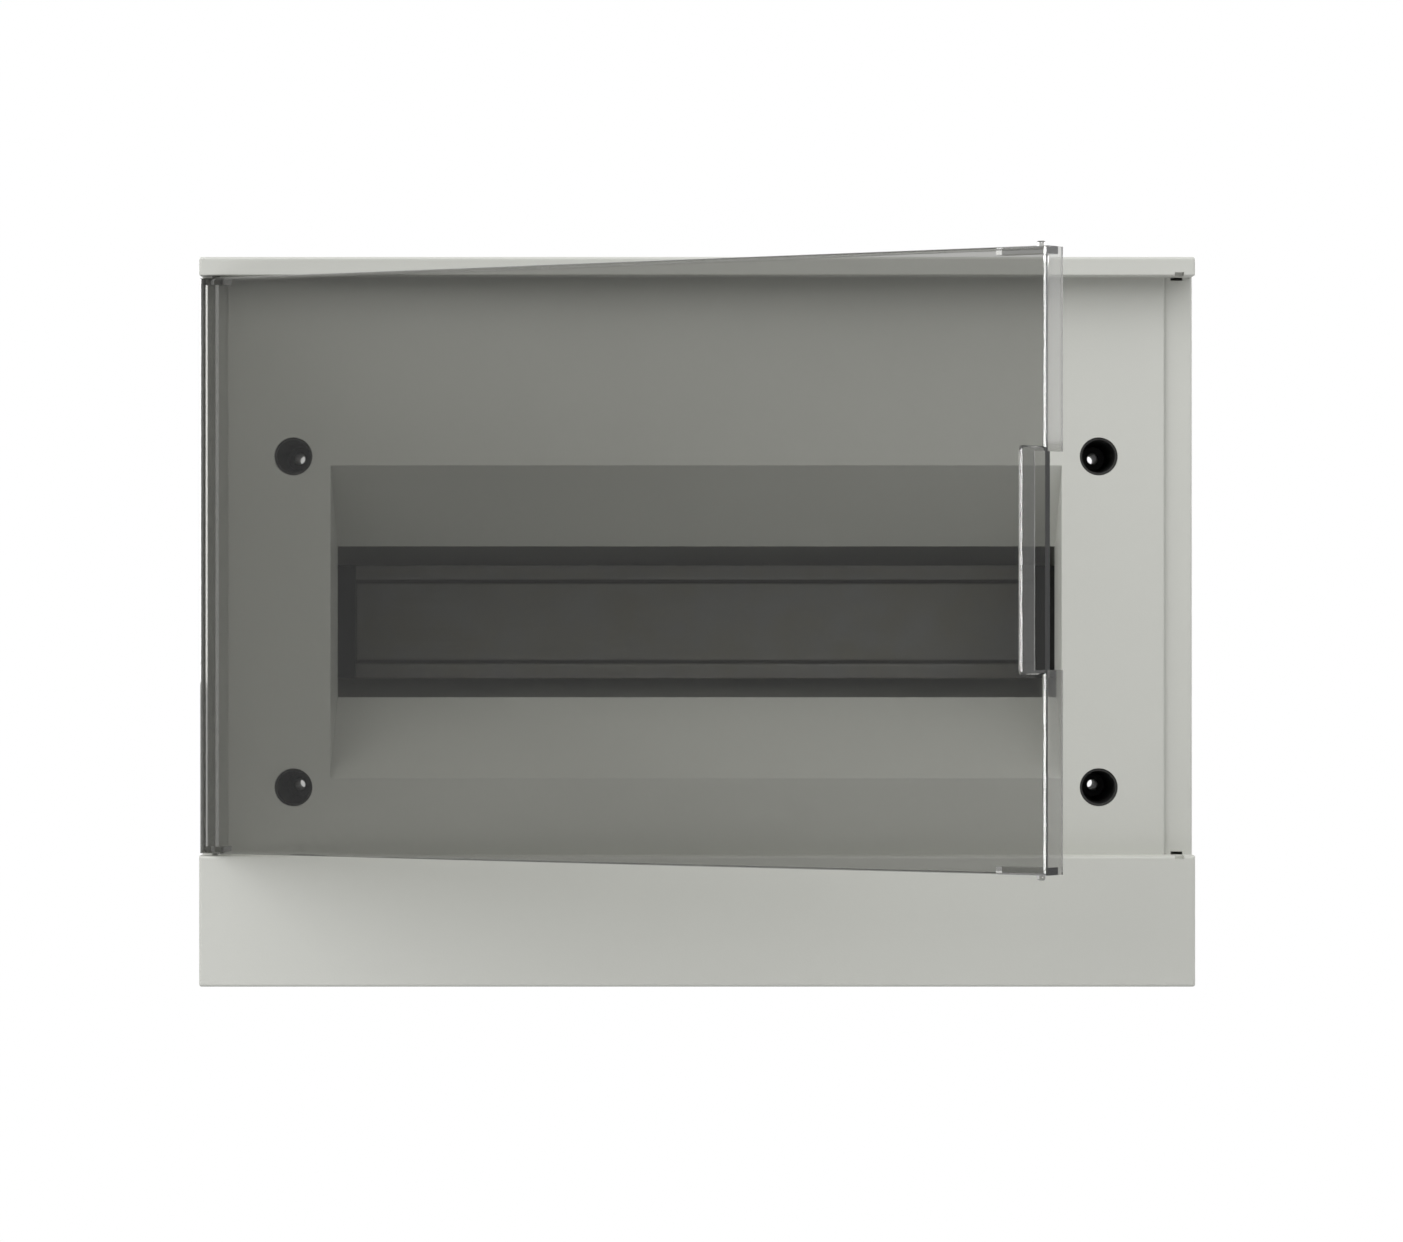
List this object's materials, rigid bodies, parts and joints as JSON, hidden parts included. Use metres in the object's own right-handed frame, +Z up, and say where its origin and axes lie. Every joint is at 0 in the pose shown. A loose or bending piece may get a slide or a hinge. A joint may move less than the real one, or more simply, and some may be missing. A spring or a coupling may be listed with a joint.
{
  "type": "surface-mount distribution board",
  "caption": "Shallow wall-mounted distribution board: grey plastic back box and hood with a device window, top-hat rail, terminal bars and a smoked hinged door",
  "frame": {"origin": "On the wall plane, at the centre of the four wall-fixing holes", "axes": "+X to the right as seen from the front, +Y into the wall, +Z up; the front faces -Y"},
  "size_m": [0.297, 0.2701, 0.2176],
  "materials": {
    "housing": "fine texture",
    "smoked_door": "polished, transparent",
    "plated_steel": "zinc plated",
    "support": "satin",
    "sleeve": "satin",
    "terminal_brass": "machined",
    "neutral_blue": "satin",
    "earth_green": "satin"
  },
  "bodies": {
    "enclosure": {"back_box": "housing", "front_cover": "housing", "din_rail": "plated_steel", "rail_support_left": "support", "rail_support_right": "support", "rail_support_screws": "plated_steel", "carrier_screws": "plated_steel", "screw_sleeve_top_left": "sleeve", "screw_sleeve_top_right": "sleeve", "screw_sleeve_bottom_left": "sleeve", "screw_sleeve_bottom_right": "sleeve", "neutral_bar": "terminal_brass", "neutral_bar_carrier": "neutral_blue", "neutral_clamp_screws": "plated_steel", "earth_bar": "terminal_brass", "earth_bar_carrier": "earth_green", "earth_clamp_screws": "plated_steel"},
    "door": {"door": "smoked_door"}
  },
  "joints": [
    {"name": "door_hinge", "type": "hinge", "parent": "enclosure", "child": "door", "pos_m": [-0.1438, -0.0921, 0], "axis": [0, 0, -1], "range_deg": [-34.2, 145.8]}
  ]
}
